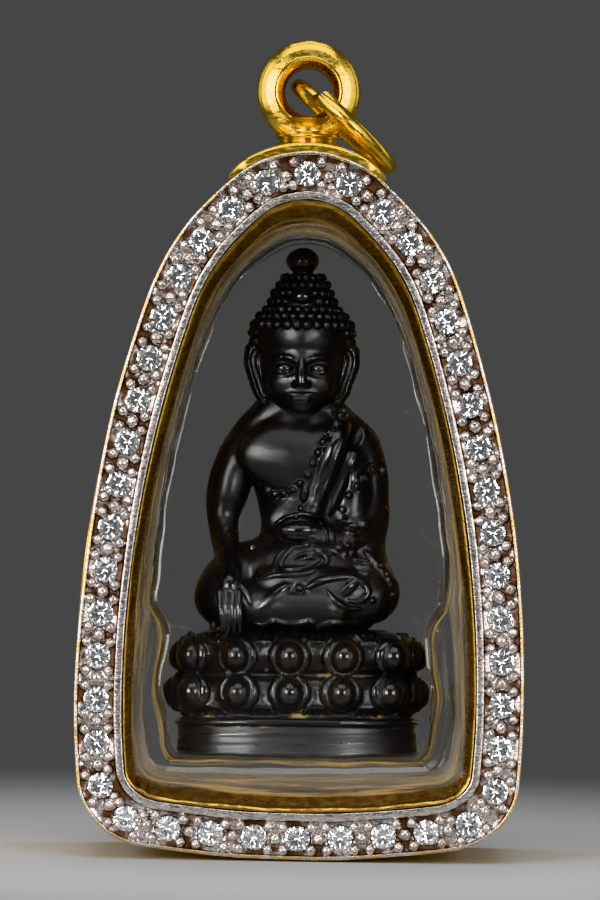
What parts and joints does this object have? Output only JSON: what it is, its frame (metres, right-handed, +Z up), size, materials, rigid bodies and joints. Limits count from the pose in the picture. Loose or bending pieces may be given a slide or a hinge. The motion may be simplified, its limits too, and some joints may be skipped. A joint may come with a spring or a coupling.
{
  "type": "thai buddha amulet pendant",
  "caption": "Amulet pendant: a small cast seated figure on a lotus seat in a clear case, with a gold frame, stone-set front, donut bail and jump ring.",
  "frame": {"origin": "centre of the bounding box in plan, at the foot on which the case stands", "axes": "+Z up towards the bail, front with its stones towards -Y, +X to the viewer's right"},
  "size_m": [0.0316, 0.02, 0.0579],
  "materials": {
    "gold": "satin yellow gold plate over cast metal",
    "white_metal": "white-metal plate with brown tarnish in its recesses",
    "acrylic": "polished clear acrylic",
    "dark_bronze": "cast bronze with a black glossy patina",
    "stone": "faceted clear stone"
  },
  "bodies": {
    "case": {"gold_frame": "gold", "front_plate": "white_metal", "clear_case": "acrylic", "clear_back": "acrylic", "back_ring": "gold", "figure": "dark_bronze", "stone_01": "stone", "stone_02": "stone", "stone_03": "stone", "stone_04": "stone", "stone_05": "stone", "stone_06": "stone", "stone_07": "stone", "stone_08": "stone", "stone_09": "stone", "stone_10": "stone", "stone_11": "stone", "stone_12": "stone", "stone_13": "stone", "stone_14": "stone", "stone_15": "stone", "stone_16": "stone", "stone_17": "stone", "stone_18": "stone", "stone_19": "stone", "stone_20": "stone", "stone_21": "stone", "stone_22": "stone", "stone_23": "stone", "stone_24": "stone", "stone_25": "stone", "stone_26": "stone", "stone_27": "stone", "stone_28": "stone", "stone_29": "stone", "stone_30": "stone", "stone_31": "stone", "stone_32": "stone", "stone_33": "stone", "stone_34": "stone", "stone_35": "stone", "stone_36": "stone", "stone_37": "stone", "stone_38": "stone", "stone_39": "stone", "stone_40": "stone", "stone_41": "stone", "stone_42": "stone"},
    "ring": {"jump_ring": "gold"}
  },
  "joints": [
    {"name": "ring_swing", "type": "hinge", "parent": "case", "child": "ring", "pos_m": [0, 0, 0.0542], "axis": [0, -1, 0], "range_deg": [0, 264]}
  ]
}
